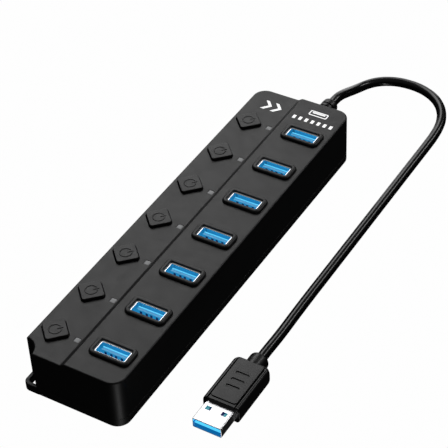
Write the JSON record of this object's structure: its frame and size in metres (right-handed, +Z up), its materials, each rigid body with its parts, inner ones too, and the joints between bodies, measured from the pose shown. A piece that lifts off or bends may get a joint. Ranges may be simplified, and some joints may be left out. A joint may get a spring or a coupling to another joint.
{
  "type": "usb hub",
  "caption": "Long two-level desktop data hub with upright sockets, a diamond push switch and status window for each, a corner lanyard eye and a short captive lead ending in a plug.",
  "frame": {"origin": "centre of the face the hub stands on, without its lead", "axes": "+X towards the sockets, +Y towards the lead, +Z up"},
  "size_m": [0.0791, 0.2355, 0.0242],
  "materials": {
    "housing_black": "fine satin moulded ABS",
    "cover_black": "satin moulded ABS",
    "button_black": "satin moulded ABS with a raised symbol",
    "board_green": "solder mask on glass fibre",
    "plunger_white": "natural nylon",
    "switch_black": "moulded switch case",
    "shell_steel": "nickel-plated drawn sheet",
    "socket_blue": "moulded blue insulator",
    "pipe_clear": "frosted clear light guide",
    "contact_gold": "gold flash over copper alloy",
    "led_cream": "surface-mount lamp",
    "chip_black": "epoxy package",
    "can_steel": "seam-sealed can",
    "can_aluminium": "aluminium can",
    "screw_steel": "zinc-plated steel",
    "foot_rubber": "matt rubber pad",
    "lead_black": "moulded PVC strain relief",
    "cable_black": "satin PVC jacket",
    "core_red": "insulated cores",
    "grip_black": "satin PVC overmould",
    "shell_bright": "bright nickel plate",
    "plug_blue": "moulded blue insulator",
    "print_white": "pad-printed ink"
  },
  "bodies": {
    "root": {"top_housing": "housing_black", "bottom_cover": "cover_black", "circuit_board": "board_green", "switch_body_1": "switch_black", "switch_body_2": "switch_black", "switch_body_3": "switch_black", "switch_body_4": "switch_black", "switch_body_5": "switch_black", "switch_body_6": "switch_black", "switch_body_7": "switch_black", "port_shell_1": "shell_steel", "port_shell_2": "shell_steel", "port_shell_3": "shell_steel", "port_shell_4": "shell_steel", "port_shell_5": "shell_steel", "port_shell_6": "shell_steel", "port_shell_7": "shell_steel", "port_insulator_1": "socket_blue", "port_insulator_2": "socket_blue", "port_insulator_3": "socket_blue", "port_insulator_4": "socket_blue", "port_insulator_5": "socket_blue", "port_insulator_6": "socket_blue", "port_insulator_7": "socket_blue", "light_pipe_1": "pipe_clear", "light_pipe_2": "pipe_clear", "light_pipe_3": "pipe_clear", "light_pipe_4": "pipe_clear", "light_pipe_5": "pipe_clear", "light_pipe_6": "pipe_clear", "light_pipe_7": "pipe_clear", "port_contacts": "contact_gold", "led_chips": "led_cream", "hub_chips": "chip_black", "crystals": "can_steel", "capacitors": "can_aluminium", "cover_screws": "screw_steel", "rubber_feet": "foot_rubber", "strain_relief": "lead_black", "cable": "cable_black", "inner_leads": "core_red", "plug_grip": "grip_black", "plug_shell": "shell_bright", "plug_insulator": "plug_blue", "plug_contacts": "contact_gold", "printed_marks": "print_white"},
    "button_1": {"button_cap_1": "button_black", "switch_plunger_1": "plunger_white"},
    "button_2": {"button_cap_2": "button_black", "switch_plunger_2": "plunger_white"},
    "button_3": {"button_cap_3": "button_black", "switch_plunger_3": "plunger_white"},
    "button_4": {"button_cap_4": "button_black", "switch_plunger_4": "plunger_white"},
    "button_5": {"button_cap_5": "button_black", "switch_plunger_5": "plunger_white"},
    "button_6": {"button_cap_6": "button_black", "switch_plunger_6": "plunger_white"},
    "button_7": {"button_cap_7": "button_black", "switch_plunger_7": "plunger_white"}
  },
  "joints": [
    {"name": "button_1_press", "type": "slide", "parent": "root", "child": "button_1", "axis": [0, 0, -1], "range_m": [0, 0.0015], "stiffness_N_per_m": 400, "springref_m": -0.0005},
    {"name": "button_2_press", "type": "slide", "parent": "root", "child": "button_2", "axis": [0, 0, -1], "range_m": [0, 0.0015], "stiffness_N_per_m": 400, "springref_m": -0.0005},
    {"name": "button_3_press", "type": "slide", "parent": "root", "child": "button_3", "axis": [0, 0, -1], "range_m": [0, 0.0015], "stiffness_N_per_m": 400, "springref_m": -0.0005},
    {"name": "button_4_press", "type": "slide", "parent": "root", "child": "button_4", "axis": [0, 0, -1], "range_m": [0, 0.0015], "stiffness_N_per_m": 400, "springref_m": -0.0005},
    {"name": "button_5_press", "type": "slide", "parent": "root", "child": "button_5", "axis": [0, 0, -1], "range_m": [0, 0.0015], "stiffness_N_per_m": 400, "springref_m": -0.0005},
    {"name": "button_6_press", "type": "slide", "parent": "root", "child": "button_6", "axis": [0, 0, -1], "range_m": [0, 0.0015], "stiffness_N_per_m": 400, "springref_m": -0.0005},
    {"name": "button_7_press", "type": "slide", "parent": "root", "child": "button_7", "axis": [0, 0, -1], "range_m": [0, 0.0015], "stiffness_N_per_m": 400, "springref_m": -0.0005}
  ]
}
